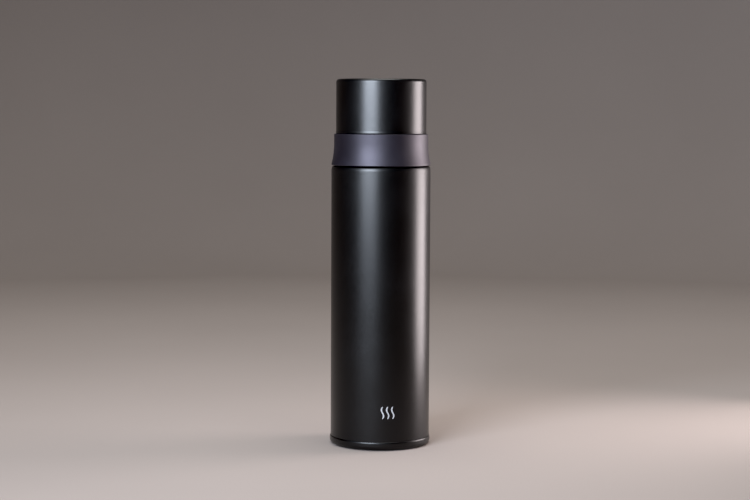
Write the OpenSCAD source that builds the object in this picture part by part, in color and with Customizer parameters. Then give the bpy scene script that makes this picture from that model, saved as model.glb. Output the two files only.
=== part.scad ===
// Vacuum flask: a double-walled steel bottle, a screw-on pouring stopper with a push button,
// and a drinking cup that screws over the stopper.
// Millimetres. +Z is up, the origin is the centre of the base, and the stopper pours towards -Y.
// Everything from the shoulder up is placed from shoulder_z.

/* [Bottle] */
// Height of the closed flask
total_h = 258; // [230:1:280]
// Outer diameter of the body
body_d = 70; // [69:0.5:74]
// Thickness of the steel sheet
sheet_t = 0.4; // [0.35:0.05:0.5]
// Width of the vacuum gap between the two walls
vacuum_gap = 3.5; // [3:0.25:4.5]

/* [Cup] */
// Outer diameter of the cup's metal shell
cup_d = 63.6; // [63.4:0.1:64.4]
// Height of the plastic ring round the cup's mouth
ring_h = 22; // [20:0.5:26]
// Radius of the corner at the top of the cup
cup_corner_r = 1.8; // [1:0.1:1.8]

/* [Stopper] */
// Diameter of the bottle's mouth
mouth_d = 43.6; // [43.4:0.1:43.8]
// Diameter of the push button
button_d = 25; // [24.6:0.1:25.2]
// How far the button goes down to open the valve
button_travel = 6; // [4:0.5:6]

/* [Threads] */
// Rise for each turn of the stopper on the bottle's neck
neck_lead = 6; // [5:0.5:7]
// Rise for each turn of the cup on the stopper, shared by three starts
cup_lead = 12; // [10.5:0.5:13.5]

/* [Hidden] */
$fn = 96;

// Colours
paint_black = [0.07, 0.07, 0.08];
ring_purple = [0.22, 0.20, 0.27];
steel = [0.72, 0.72, 0.73];
foil_silver = [0.82, 0.82, 0.84];
plastic_grey = [0.20, 0.20, 0.22];
liner_grey = [0.30, 0.30, 0.33];
silicone_white = [0.82, 0.82, 0.80];

// Fit between pieces that are pressed, glued or welded together
joint_gap = 0.05;
// Clearance between pieces that slide or turn
slide_gap = 0.3;

// Bottle
body_r = body_d / 2;
seam_z = 6.2;                   // lower edge of the shell, on the base's bead
hem_r = 0.1;                    // chamfer on that edge
shoulder_z = total_h - 61;      // top of the shell's rounded shoulder
shoulder_r = [1.3, 3];          // the shoulder is a quarter of an ellipse, this wide and high
shoulder_rise = 0.3;            // and rises this much more on its way to the neck
mouth_r = mouth_d / 2;
neck_r = mouth_r + 2.5;         // outside of the shell's neck
neck_fillet_r = 1.8;
rim_z = shoulder_z + 18.1;      // top of the bottle's mouth
rim_t = 0.55;                   // thickness of the vessel's rolled rim
vessel_r = body_r - sheet_t - vacuum_gap;
vessel_z = 16;                  // weld between the vessel and its bottom
vessel_corner_r = 7;
vessel_corner_a = 65;
vessel_fillet_r = 3;
vessel_corner_z = shoulder_z - 13.3;
foil_t = 0.1;

// Base
bead_r = body_r + 0.5;
bead_corner_r = [0.55, 1.3];    // the bead's upper corner, as the shoulder's
foot_corner_r = 3.3;
foot_in_r = body_r - 4.4;       // inner edge of the ring that the flask stands on
recess_r = foot_in_r - 1.2;
panel_z = 2.4;                  // underside of the recessed panel
flange_top_z = 12;
seal_hole_r = 1.2;
getter_x = 12;

// Cup
cup_r = cup_d / 2;
ring_z = shoulder_z + 0.6;
ring_top_z = ring_z + ring_h;
ring_top_r = 33.15;
ring_flare_h = 16.3;            // the ring's side is straight above this, and flares below it
ring_flare_power = 2.2;
spigot_r = cup_r - 0.6;         // the shell steps in here to enter the ring
spigot_h = 3.6;
liner_r = 29.1;                 // inside of the cup
liner_wall = 1.4;
liner_z = ring_z + 1.45;
liner_step_z = ring_top_z - spigot_h - 0.1;
liner_top_z = total_h - 1.8;

// Stopper housing
barrel_r = mouth_r - 1.2;
barrel_in_r = barrel_r - 2;
barrel_z = shoulder_z - 6.3;
seat_r = 13;                    // valve opening
groove_r = barrel_r - 1.2;
groove_z = barrel_z + 3.2;
groove_h = 4;
deck_z = rim_z + 0.4;
deck_top_z = deck_z + 2.2;
skirt_in_r = neck_r + 1.3;
skirt_r = skirt_in_r + 2;
skirt_z = shoulder_z + 2.6;
head_r = skirt_r - 0.4;
head_in_r = head_r - 2;
head_top_z = deck_top_z + 5;
flute_count = 36;
flute_r = 0.7;
chamber_seal_r = 22.1;
chamber_seal_wire_r = 0.42;

// Valve guide, which closes the pouring chamber and holds the spring
guide_z = deck_top_z + joint_gap;
guide_top_z = guide_z + 1.45;
well_r = 6.8;
well_wall = 1.4;
well_z = guide_z - 10.15;
well_floor_t = 1.6;
stem_r = 2.2;
duct_in_r = 16.4;
duct_out_r = 18.4;
duct_wall = 1.1;
duct_half_a = 30;
duct_top_z = deck_top_z + 16.6;
vent_half_a = 6;                // the vent is a slot as wide as the duct, at its far side

// Stopper cover
cover_deck_z = deck_top_z + 16.7;
cover_deck_t = 2;
cover_top_z = deck_top_z + 20.5;
button_r = button_d / 2;
collar_in_r = button_r + slide_gap;
collar_r = collar_in_r + 1.5;
collar_z = deck_top_z + 12.3;
collar_top_z = deck_top_z + 21.8;
spout_half_a = 16;
window_z = deck_top_z + 5.9;
window_h = 8.6;
window_w = 14.8;

// Release levers
lever_z = deck_top_z + 5.5;     // underside of the arm
arm_t = 2;
arm_w = 6;
hook_x = 9;
hook_w = 3;
pad_r = skirt_r;
lever_spring_z = deck_top_z + 10.9;
bracket_x = 15.5;
bracket_t = 3;
lever_flange_r = 24;

// Button, stem and valve
button_z = lever_z + arm_t + button_travel + 0.8;
button_top_z = button_z + 12.4;
stem_flange_z = button_z + 2.2;
stem_flange_r = 5.9;
valve_z = barrel_z - 5.1;

// Springs
spring_r = 5.4;
spring_wire_r = 0.45;
spring_turns = 9;
lever_spring_r = 1.7;
lever_spring_wire_r = 0.3;
lever_spring_turns = 5;

// Threads
ridge_step = 7.5;               // degrees between a ridge's sections
neck_ridge_w = 2;
cup_ridge_w = 1.5;
cup_starts = 3;

// ---- Shapes that repeat ----

// Points along an arc about c, from angle a0 to a1. An arc of an ellipse takes r as [rx, ry].
function arc(c, r, a0, a1, n = 6) =
    let (radii = is_list(r) ? r : [r, r])
    [for (i = [0 : n]) let (a = a0 + (a1 - a0) * i / n)
        c + [radii[0] * cos(a), radii[1] * sin(a)]];

function reversed(points) = [for (i = [len(points) - 1 : -1 : 0]) points[i]];

// Solid of revolution from a closed outline of [radius, height] points
module lathe(outline) rotate_extrude() polygon(outline);

// Sector of a ring, centred on the -Y direction turned by turn
module ring_sector(r0, r1, z0, z1, half_a, turn = 0)
    rotate([0, 0, -90 - half_a + turn]) rotate_extrude(angle = 2 * half_a)
        translate([r0, z0]) square([r1 - r0, z1 - z0]);

// Closed tube of square-sectioned rings: sections is a list of equal lists of points
module skin(sections) {
    n = len(sections[0]);
    last = len(sections) - 1;
    points = [for (s = sections) each s];
    sides = [for (i = [0 : last - 1], k = [0 : n - 1])
        let (a = i * n + k, b = i * n + (k + 1) % n)
        each [[a, b, b + n], [a, b + n, a + n]]];
    caps = [[for (k = [n - 1 : -1 : 0]) k], [for (k = [0 : n - 1]) last * n + k]];
    polyhedron(points, concat(sides, caps), convexity = 10);
}

// One thread ridge on a wall of radius wall_r, which fades into the wall at both ends.
// A positive height stands outward and a negative one inward.
module thread_ridge(wall_r, height, width, lead, z, start_a, sweep_a) {
    root = 0.3 * sign(height);
    steps = ceil(sweep_a / ridge_step);
    fade = 3;
    sections = [for (i = [0 : steps])
        let (
            a = sweep_a * i / steps,
            rise = min(1, (i + 0.2) / fade, (steps - i + 0.2) / fade),
            r0 = wall_r - root,
            r1 = r0 + (height + root) * rise,
            zc = z + lead * a / 360,
            outline = [[r0, -width / 2], [r1, -width / 4], [r1, width / 4], [r0, width / 2]],
            turn = start_a + a
        )
        [for (p = height > 0 ? outline : reversed(outline))
            [p[0] * cos(turn), p[0] * sin(turn), zc + p[1]]]];
    skin(sections);
}

// Compression spring standing on z = 0, with a closed turn at each end
module coil_spring(r, wire_r, length, turns) {
    per_turn = 18;
    sides = 6;
    rise = length - 2 * wire_r;
    closed = 2.1 * wire_r;
    function height(t) =
        t < 1 ? closed * t :
        t > turns - 1 ? rise - closed * (turns - t) :
        closed + (rise - 2 * closed) * (t - 1) / (turns - 2);
    skin([for (i = [0 : turns * per_turn])
        let (a = 360 * i / per_turn, z = wire_r + height(i / per_turn))
        [for (k = [0 : sides - 1])
            let (b = -360 * k / sides, d = r + wire_r * cos(b))
            [d * cos(a), d * sin(a), z + wire_r * sin(b)]]]);
}

// ---- Bottle ----

module outer_shell() {
    corner = [body_r - shoulder_r[0], shoulder_z - shoulder_r[1]];
    fillet = [neck_r + neck_fillet_r, shoulder_z + shoulder_rise + neck_fillet_r];
    outside = concat(
        [[body_r - hem_r, seam_z], [body_r, seam_z + hem_r]],
        arc(corner, shoulder_r, 0, 90, 8),
        arc(fillet, neck_fillet_r, 270, 180),
        [[neck_r, rim_z - rim_t - joint_gap]]);
    inside = concat(
        [[body_r - sheet_t, seam_z]],
        arc(corner, shoulder_r - [sheet_t, sheet_t], 0, 90, 8),
        arc(fillet, neck_fillet_r + sheet_t, 270, 180),
        [[neck_r - sheet_t, rim_z - rim_t - joint_gap]]);
    color(paint_black) union() {
        lathe(concat(outside, reversed(inside)));
        thread_ridge(neck_r, 1, neck_ridge_w, neck_lead, shoulder_z + 5.6, 0, 480);
    }
}

module inner_vessel() {
    corner = [vessel_r - vessel_corner_r, vessel_corner_z];
    neck = mouth_r + sheet_t;
    // The cone between the two arcs is tangent to both
    cone_r = neck + vessel_fillet_r * (1 - cos(vessel_corner_a));
    cone_drop = vessel_r - vessel_corner_r * (1 - cos(vessel_corner_a)) - cone_r;
    fillet = [neck + vessel_fillet_r,
        vessel_corner_z + vessel_corner_r * sin(vessel_corner_a)
            + cone_drop / tan(vessel_corner_a) + vessel_fillet_r * sin(vessel_corner_a)];
    fillet_a = 180 + vessel_corner_a;
    outside = concat(
        [[vessel_r, vessel_z]],
        arc(corner, vessel_corner_r, 0, vessel_corner_a, 8),
        arc(fillet, vessel_fillet_r, fillet_a, 180),
        [[neck, rim_z - rim_t], [neck_r, rim_z - rim_t], [neck_r, rim_z - 0.25],
            [neck_r - 0.25, rim_z]]);
    inside = concat(
        [[vessel_r - sheet_t, vessel_z]],
        arc(corner, vessel_corner_r - sheet_t, 0, vessel_corner_a, 8),
        arc(fillet, vessel_fillet_r + sheet_t, fillet_a, 180),
        [[mouth_r, rim_z - 0.35], [mouth_r + 0.35, rim_z]]);
    color(steel) lathe(concat(outside, reversed(inside)));
}

module inner_bottom() {
    corner_r = 6;
    floor_z = 9.2;
    corner = [vessel_r - corner_r, floor_z + corner_r];
    top_z = vessel_z - joint_gap;
    outside = concat([[0, floor_z + 1], [vessel_r - corner_r - 2, floor_z]],
        arc(corner, corner_r, 270, 360), [[vessel_r, top_z]]);
    inside = concat([[0, floor_z + 1 + sheet_t], [vessel_r - corner_r - 2, floor_z + sheet_t]],
        arc(corner, corner_r - sheet_t, 270, 360), [[vessel_r - sheet_t, top_z]]);
    color(steel) lathe(concat(outside, reversed(inside)));
}

// Pressed base: a flange inside the shell, a bead under its edge, the foot and a recessed panel
module outer_base() {
    flange_r = body_r - sheet_t - 2 * joint_gap;
    foot = [bead_r - foot_corner_r, foot_corner_r];
    heel = [foot_in_r, foot_in_r - recess_r];
    lip = [recess_r - 0.5, panel_z - 0.5];
    bead_top = seam_z - joint_gap;
    outside = concat(
        [[flange_r, flange_top_z], [flange_r, bead_top]],
        arc([bead_r, bead_top] - bead_corner_r, bead_corner_r, 90, 0),
        arc(foot, foot_corner_r, 0, -90, 8),
        arc(heel, heel[1], 270, 180),
        arc(lip, 0.5, 0, 90, 4),
        [[seal_hole_r, panel_z]]);
    inside = concat(
        [[flange_r - sheet_t, flange_top_z], [flange_r - sheet_t, bead_top - 0.2],
            [bead_r - sheet_t, bead_top - bead_corner_r[1]]],
        arc(foot, foot_corner_r - sheet_t, 0, -90, 8),
        arc(heel, heel[1] - sheet_t, 270, 180),
        arc(lip, 0.5 + sheet_t, 0, 90, 4),
        [[seal_hole_r, panel_z + sheet_t]]);
    color(paint_black) lathe(concat(outside, reversed(inside)));
}

// Disc glued into the recess over the sealed pumping hole
module base_cover() {
    r = recess_r - 0.8;
    color(plastic_grey) lathe([[0, 0.9], [r - 0.3, 0.9], [r, 1.2], [r, panel_z - joint_gap],
        [r - 2, panel_z - joint_gap], [r - 2, 1.6], [0, 1.6]]);
}

// Solder plug that closes the pumping hole
module vacuum_seal() {
    color(silicone_white) union() {
        translate([0, 0, panel_z - 0.1]) cylinder(r = seal_hole_r - joint_gap, h = 0.9);
        translate([0, 0, panel_z - 0.65]) cylinder(r = 2.6, h = 0.6);
    }
}

module getter_holder() {
    z = panel_z + sheet_t + joint_gap;
    color(steel) translate([getter_x, 0, z])
        lathe([[0, 0], [5.6, 0], [5.6, 2.2], [5.2, 2.2], [5.2, 0.4], [0, 0.4]]);
}

module getter_pellet() {
    z = panel_z + sheet_t + 0.5;
    color(plastic_grey) translate([getter_x, 0, z])
        lathe([[0, 0], [4.8, 0], [5.1, 0.3], [5.1, 2.1], [4.8, 2.4], [0, 2.4]]);
}

// Reflecting foil wrapped round the inner vessel
module radiation_foil()
    color(foil_silver) translate([0, 0, vessel_z + 1]) difference() {
        h = vessel_corner_z - vessel_z - 2;
        cylinder(r = vessel_r + 0.15 + foil_t, h = h);
        translate([0, 0, -1]) cylinder(r = vessel_r + 0.15, h = h + 2);
    }

// ---- Stopper ----

// Ring with two lips that seals the barrel in the neck
module stopper_gasket() {
    z0 = groove_z + 0.1;
    z1 = groove_z + groove_h - 0.1;
    lip_r = mouth_r - 0.3;
    waist_r = lip_r - 0.6;
    color(silicone_white) lathe([
        [groove_r + 0.1, z0], [waist_r, z0], [lip_r, z0 + 0.9], [waist_r, z0 + 1.6],
        [waist_r, z1 - 1.6], [lip_r, z1 - 0.9], [waist_r, z1], [groove_r + 0.1, z1]]);
}

module stopper_housing() {
    groove_in = chamber_seal_r - 0.9;
    groove_out = chamber_seal_r + 0.9;
    outline = [
        [seat_r, barrel_z], [barrel_r - 0.6, barrel_z], [barrel_r, barrel_z + 0.6],
        [barrel_r, groove_z], [groove_r, groove_z],
        [groove_r, groove_z + groove_h], [barrel_r, groove_z + groove_h],
        [barrel_r, deck_z], [skirt_in_r, deck_z],
        [skirt_in_r, skirt_z + 0.4], [skirt_in_r + 0.3, skirt_z],
        [skirt_r - 0.4, skirt_z], [skirt_r, skirt_z + 0.4],
        [skirt_r, deck_top_z - 0.5], [head_r, deck_top_z],
        [head_r, head_top_z], [head_in_r, head_top_z],
        [head_in_r, deck_top_z], [groove_out, deck_top_z],
        [groove_out, deck_top_z - 0.9], [groove_in, deck_top_z - 0.9],
        [groove_in, deck_top_z], [barrel_in_r, deck_top_z],
        [barrel_in_r, barrel_z + 2.6], [seat_r, barrel_z + 1.2]];
    color(plastic_grey) union() {
        difference() {
            lathe(outline);
            for (i = [0 : flute_count - 1])
                rotate([0, 0, 360 * (i + 0.5) / flute_count])
                    translate([head_r + 0.4, 0, deck_top_z + 0.8])
                        cylinder(r = flute_r, h = head_top_z, $fn = 24);
        }
        // Inside ridge that runs on the bottle's neck
        thread_ridge(skirt_in_r, -1, neck_ridge_w, neck_lead, shoulder_z + 4.6, 90, 420);
        // Three outside ridges that carry the cup
        for (i = [0 : cup_starts - 1])
            thread_ridge(skirt_r, 1.15, cup_ridge_w, cup_lead, shoulder_z + 6.4,
                360 * i / cup_starts, 105);
    }
}

// Ring between the housing's deck and the valve guide
module chamber_seal()
    color(silicone_white) translate([0, 0, deck_top_z - 0.45]) rotate_extrude()
        translate([chamber_seal_r, 0]) circle(r = chamber_seal_wire_r, $fn = 32);

module lever_bracket() {
    slot_gap = 0.25;
    difference() {
        translate([bracket_x, -5, guide_z]) cube([bracket_t, 10, 13.2]);
        translate([bracket_x - 1, -arm_w / 2 - slot_gap, lever_z - slot_gap])
            cube([bracket_t + 2, arm_w + 2 * slot_gap, arm_t + 2 * slot_gap]);
    }
}

module valve_guide() {
    floor_z = well_z + well_floor_t;
    outline = [
        [stem_r + slide_gap, well_z], [well_r + well_wall, well_z], [well_r + well_wall, guide_z],
        [head_in_r - 0.3, guide_z], [head_in_r - 0.3, guide_top_z], [well_r, guide_top_z],
        [well_r, floor_z], [4.7, floor_z], [4.7, floor_z + 2], [3.9, floor_z + 2],
        [3.9, floor_z], [stem_r + slide_gap, floor_z]];
    color(liner_grey) difference() {
        union() {
            lathe(outline);
            ring_sector(duct_in_r - duct_wall, duct_out_r + duct_wall, guide_z, duct_top_z,
                duct_half_a + 4);
            ring_sector(duct_in_r - duct_wall, duct_out_r + duct_wall, guide_z, duct_top_z,
                vent_half_a + 4, 180);
            lever_bracket();
            mirror([1, 0, 0]) lever_bracket();
        }
        ring_sector(duct_in_r, duct_out_r, guide_z - 1, duct_top_z + 1, duct_half_a);
        ring_sector(duct_in_r, duct_out_r, guide_z - 1, duct_top_z + 1, vent_half_a, 180);
    }
}

module stopper_cover() {
    deck_top = cover_deck_z + cover_deck_t;
    spigot_z = guide_top_z + 0.2;
    wall_z = head_top_z + 0.1;
    outline = [
        [collar_in_r, collar_z], [collar_r, collar_z], [collar_r, cover_deck_z],
        [head_in_r, cover_deck_z], [head_in_r, wall_z], [head_in_r - 1.4, wall_z],
        [head_in_r - 1.4, spigot_z], [head_in_r - 0.1, spigot_z],
        [head_in_r - 0.1, wall_z], [head_r, wall_z],
        [head_r, cover_top_z - 0.5], [head_r - 0.5, cover_top_z], [head_in_r + 0.4, cover_top_z],
        [head_in_r, cover_top_z - 0.4], [head_in_r, deck_top], [collar_r, deck_top],
        [collar_r, collar_top_z - 0.4], [collar_r - 0.4, collar_top_z],
        [collar_in_r + 0.4, collar_top_z], [collar_in_r, collar_top_z - 0.4]];
    color(plastic_grey) union() {
        difference() {
            lathe(outline);
            ring_sector(duct_in_r, duct_out_r, cover_deck_z - 1, deck_top + 1, duct_half_a);
            ring_sector(duct_in_r, duct_out_r, cover_deck_z - 1, deck_top + 1, vent_half_a, 180);
            // Gap in the raised edge that the drink pours over
            ring_sector(head_in_r - 1, head_r + 1, deck_top + 0.2, cover_top_z + 1, spout_half_a);
            // Windows for the levers' pads
            translate([-head_r - 1, -window_w / 2, window_z])
                cube([2 * head_r + 2, window_w, window_h]);
        }
        // Pouring lip
        rotate([0, 0, -90 - spout_half_a]) rotate_extrude(angle = 2 * spout_half_a)
            polygon([[head_r - 0.3, deck_top - 1.6], [pad_r, deck_top - 0.6],
                [pad_r, deck_top + 0.2], [head_r - 0.3, deck_top + 0.2]]);
    }
}

// Ring that wipes the stem where it leaves the chamber
module stem_seal()
    color(silicone_white) translate([0, 0, well_z + well_floor_t + joint_gap])
        lathe([[stem_r + 0.1, 0.4], [stem_r + 0.5, 0], [3.85, 0], [3.85, 1.5],
            [stem_r + 0.5, 1.5], [stem_r + 0.1, 1.1]]);

module main_spring() {
    z = well_z + well_floor_t + 0.02;
    color(steel) translate([0, 0, z])
        coil_spring(spring_r, spring_wire_r, stem_flange_z - z - 0.02, spring_turns);
}

module lever_spring() {
    x = bracket_x + bracket_t + 0.05;
    color(steel) translate([x, 0, lever_spring_z]) rotate([0, 90, 0])
        coil_spring(lever_spring_r, lever_spring_wire_r, lever_flange_r - 0.25 - x,
            lever_spring_turns);
}
module lever_spring_right() lever_spring();
module lever_spring_left() mirror([1, 0, 0]) lever_spring();

module push_button() {
    skirt_in = button_r - 1.3;
    ledge_in = skirt_in - 0.25;
    roof_z = button_top_z - 2.2;
    boss_z = stem_flange_z + 1.3;
    bore_r = stem_r + joint_gap;
    outline = concat([
        [0, boss_z + 5.8], [bore_r, boss_z + 5.8], [bore_r, boss_z], [4.4, boss_z],
        [4.4, roof_z], [skirt_in, roof_z], [skirt_in, button_z + 1.2], [ledge_in, button_z + 1],
        [ledge_in, button_z], [button_r - 0.4, button_z], [button_r, button_z + 0.4]],
        arc([button_r - 1, button_top_z - 1], 1, 0, 90),
        [[button_r - 3, button_top_z], [0, button_top_z - 0.8]]);
    color(ring_purple) lathe(outline);
}

module valve_stem() {
    z0 = valve_z + 1.9;
    color(liner_grey) lathe([
        [0, z0], [stem_r, z0], [stem_r, stem_flange_z], [stem_flange_r, stem_flange_z],
        [stem_flange_r, stem_flange_z + 1.2], [stem_r, stem_flange_z + 1.2],
        [stem_r, stem_flange_z + 7], [0, stem_flange_z + 7]]);
}

module valve_head() {
    bore_r = stem_r + joint_gap;
    color(liner_grey) translate([0, 0, valve_z]) lathe([
        [0, 0], [12.6, 0], [13.8, 1.2], [13.8, 2.6], [12.2, 2.6], [12.2, 4], [6, 4],
        [4.2, 5], [3.6, 6.6], [bore_r, 6.6], [bore_r, 1.8], [0, 1.8]]);
}

module valve_gasket()
    color(silicone_white) translate([0, 0, valve_z]) lathe([
        [12.25, 2.65], [14.2, 2.65], [14.9, 3.3], [14.9, 4.2], [14.2, 4.9], [13.4, 4.9],
        [12.25, 4.1]]);

// Pinch lever: a pad in the cover's window, an arm, and a hook under the button
module release_lever() {
    pad_gap = 0.3;
    flange_z = lever_z - 0.2;
    flange_h = 9.8;
    color(ring_purple) union() {
        intersection() {
            difference() {
                translate([0, 0, flange_z]) cylinder(r = pad_r, h = flange_h);
                translate([0, 0, flange_z - 1]) cylinder(r = lever_flange_r, h = flange_h + 2);
            }
            union() {
                translate([0, -window_w / 2 + pad_gap, window_z + pad_gap])
                    cube([pad_r, window_w - 2 * pad_gap, window_h - 2 * pad_gap]);
                intersection() {
                    translate([0, -window_w / 2 - 1, flange_z]) cube([pad_r, window_w + 2, flange_h]);
                    cylinder(r = head_in_r - 0.2, h = total_h);
                }
            }
        }
        translate([hook_x, -arm_w / 2, lever_z]) cube([lever_flange_r + 0.5 - hook_x, arm_w, arm_t]);
        // Hook, with its barb facing outward
        translate([hook_x, hook_w / 2, lever_z]) rotate([90, 0, 0]) linear_extrude(hook_w)
            polygon([[0, 0], [1.4, 0], [1.4, arm_t + 2], [1.8, arm_t + 2.2], [1.8, arm_t + 2.6],
                [1, arm_t + 3.8], [0, arm_t + 3.8]]);
    }
}
module release_lever_right() release_lever();
module release_lever_left() mirror([1, 0, 0]) release_lever();

// ---- Cup ----

function flare_r(h) = ring_top_r
    + (body_r - ring_top_r) * pow((ring_flare_h - h) / ring_flare_h, ring_flare_power);

// Plastic ring round the cup's mouth, which is also the lip to drink from
module cup_ring() {
    flare_n = 12;
    lip = 0.45;
    flare = [for (i = [1 : flare_n])
        let (h = ring_flare_h * (1 - i / flare_n) + (lip * 2) * i / flare_n)
        [flare_r(h - (lip * 2) * i / flare_n), ring_z + h]];
    color(ring_purple) lathe(concat(
        [[liner_r + 0.5, ring_z + 0.3], [liner_r + 0.5, liner_z - joint_gap],
            [spigot_r + 0.15, liner_z - joint_gap], [spigot_r + 0.15, ring_top_z]],
        arc([ring_top_r - 0.4, ring_top_z - 0.4], 0.4, 90, 0, 4),
        [[ring_top_r, ring_z + ring_flare_h]],
        flare,
        arc([body_r - lip, ring_z + lip], lip, 0, -90, 4),
        [[liner_r + 0.8, ring_z]]));
}

// Drawn metal shell of the cup, necked in where it enters the ring
module cup_shell() {
    corner = [cup_r - cup_corner_r, total_h - cup_corner_r];
    foot_z = ring_top_z - spigot_h;
    outside = concat(
        [[spigot_r, foot_z], [spigot_r, ring_top_z + 0.1]],
        arc([spigot_r, ring_top_z + 0.7], 0.6, -90, 0, 4),
        arc(corner, cup_corner_r, 0, 90),
        [[0, total_h]]);
    inside = concat(
        [[spigot_r - sheet_t, foot_z], [spigot_r - sheet_t, ring_top_z + 0.3],
            [cup_r - sheet_t, ring_top_z + 0.9]],
        arc(corner, cup_corner_r - sheet_t, 0, 90),
        [[0, total_h - sheet_t]]);
    color(paint_black) lathe(concat(outside, reversed(inside)));
}

module cup_liner() {
    out_r = liner_r + liner_wall;
    top_corner = [out_r - 2, liner_top_z - 2];
    floor_z = liner_top_z - 1.6;
    outline = concat(
        [[liner_r + 0.3, liner_z], [spigot_r, liner_z], [spigot_r, liner_step_z],
            [out_r, liner_step_z]],
        arc(top_corner, 2, 0, 90),
        [[0, liner_top_z], [0, floor_z]],
        arc([liner_r - 2, floor_z - 2], 2, 90, 0),
        [[liner_r, liner_z + 0.4]]);
    color(liner_grey) union() {
        lathe(outline);
        for (i = [0 : cup_starts - 1])
            thread_ridge(liner_r, -1.15, cup_ridge_w, cup_lead, shoulder_z + 4.4,
                360 * i / cup_starts, 105);
    }
}

outer_shell();
inner_vessel();
inner_bottom();
outer_base();
base_cover();
vacuum_seal();
getter_holder();
getter_pellet();
radiation_foil();
stopper_gasket();
stopper_housing();
chamber_seal();
valve_guide();
stopper_cover();
stem_seal();
main_spring();
lever_spring_left();
lever_spring_right();
push_button();
valve_stem();
valve_head();
valve_gasket();
release_lever_left();
release_lever_right();
cup_ring();
cup_shell();
cup_liner();
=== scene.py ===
"""Looks of a slim vacuum flask with a drinking cup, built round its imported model.

Sizes are in millimetres, as on a maker's drawing, and meshes are made in metres.
"""

import logging
import math
from dataclasses import dataclass, field
from enum import Enum
from typing import Any, Callable, Optional, Sequence

import bmesh
import bpy
from mathutils import Matrix, Vector


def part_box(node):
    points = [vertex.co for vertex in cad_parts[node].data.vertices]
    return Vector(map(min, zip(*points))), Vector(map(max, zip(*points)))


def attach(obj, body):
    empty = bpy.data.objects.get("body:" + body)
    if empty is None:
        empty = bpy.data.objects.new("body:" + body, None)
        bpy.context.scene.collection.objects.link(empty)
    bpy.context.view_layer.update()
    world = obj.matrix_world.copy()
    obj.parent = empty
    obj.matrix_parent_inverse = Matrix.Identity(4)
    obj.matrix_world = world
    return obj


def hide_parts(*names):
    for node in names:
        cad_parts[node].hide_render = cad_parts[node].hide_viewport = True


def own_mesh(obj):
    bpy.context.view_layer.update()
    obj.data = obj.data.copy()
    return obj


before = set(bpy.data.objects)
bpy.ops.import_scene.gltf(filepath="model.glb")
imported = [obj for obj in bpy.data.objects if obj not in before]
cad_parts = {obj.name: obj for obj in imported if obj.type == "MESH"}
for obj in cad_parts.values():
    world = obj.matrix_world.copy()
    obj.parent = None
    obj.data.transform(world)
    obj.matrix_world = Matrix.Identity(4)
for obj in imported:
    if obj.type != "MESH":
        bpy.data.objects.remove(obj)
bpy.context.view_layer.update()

MM = 0.001
UP = Vector((0, 0, 1))
SHARP_ANGLE = math.radians(38)
ON_AXIS = 1e-6         # a point nearer the axis than this lies on it, in mm
WELD = 1e-7            # points nearer each other than this are one, in metres
NECK_LEAD = 6.0        # how far the neck's thread rises in a turn
CUP_LEAD = 12.0        # and the cup's
CUP_STARTS = 3
log = logging.getLogger("flask")

Point = tuple[float, float]
Outline = list[Point]
Shape = Callable[[float, float, float], tuple[float, float, float]]
Pick = Callable[[int], int]


# ---- Reading the frame ----

def low(node: str) -> float:
    """Height of a CAD node's lowest point, in millimetres."""
    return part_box(node)[0].z / MM


def high(node: str) -> float:
    """Height of a CAD node's highest point, in millimetres."""
    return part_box(node)[1].z / MM


def reach(node: str) -> float:
    """Largest radius of a round CAD node, in millimetres."""
    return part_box(node)[1].x / MM


# ---- Outlines ----

def arc(centre: Point, radius: float | Point, start: float, end: float,
        steps: int = 8) -> Outline:
    """Points along an arc.

    Args:
        centre: The arc's centre, as radius and height.
        radius: The arc's radius, or an ellipse's half width and half height.
        start: The angle that it starts at, in degrees from outward.
        end: The angle that it ends at.
        steps: How many steps it is drawn in.

    Returns:
        The points, both ends included.
    """
    wide, tall = radius if isinstance(radius, tuple) else (radius, radius)
    turns = [math.radians(start + (end - start) * i / steps) for i in range(steps + 1)]
    return [(centre[0] + wide * math.cos(a), centre[1] + tall * math.sin(a)) for a in turns]


def rounded(corners: Sequence[tuple[float, ...]], fillet: float = 0.25, steps: int = 4) -> Outline:
    """Closed outline with its corners rounded off.

    Args:
        corners: Each corner's radius and height, and its own fillet if it has one.
        fillet: The fillet of a corner that states none.
        steps: How many steps a fillet is drawn in.

    Returns:
        The outline. A corner on the axis, or with a fillet of 0, stays sharp.
    """
    outline: Outline = []
    straight = math.radians(176)       # a corner as flat as this needs no fillet
    share = 0.45                       # the most that a fillet takes of either side
    for i, corner in enumerate(corners):
        here = Vector(corner[:2])
        back = Vector(corners[i - 1][:2]) - here
        ahead = Vector(corners[(i + 1) % len(corners)][:2]) - here
        size = corner[2] if len(corner) > 2 else fillet
        angle = back.angle(ahead)
        if size <= 0 or here.x < ON_AXIS or angle > straight:
            outline.append(tuple(here))
            continue
        cut = min(size / math.tan(angle / 2), share * back.length, share * ahead.length)
        radius = cut * math.tan(angle / 2)
        centre = here + (back.normalized() + ahead.normalized()).normalized() * (
            radius / math.sin(angle / 2))
        first = here + back.normalized() * cut - centre
        last = here + ahead.normalized() * cut - centre
        turn = first.angle_signed(last)
        for k in range(steps + 1):
            # angle_signed counts clockwise, and a 2D rotation matrix the other way
            outline.append(tuple(centre + Matrix.Rotation(-turn * k / steps, 2) @ first))
    return outline


# ---- Meshes ----

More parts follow.
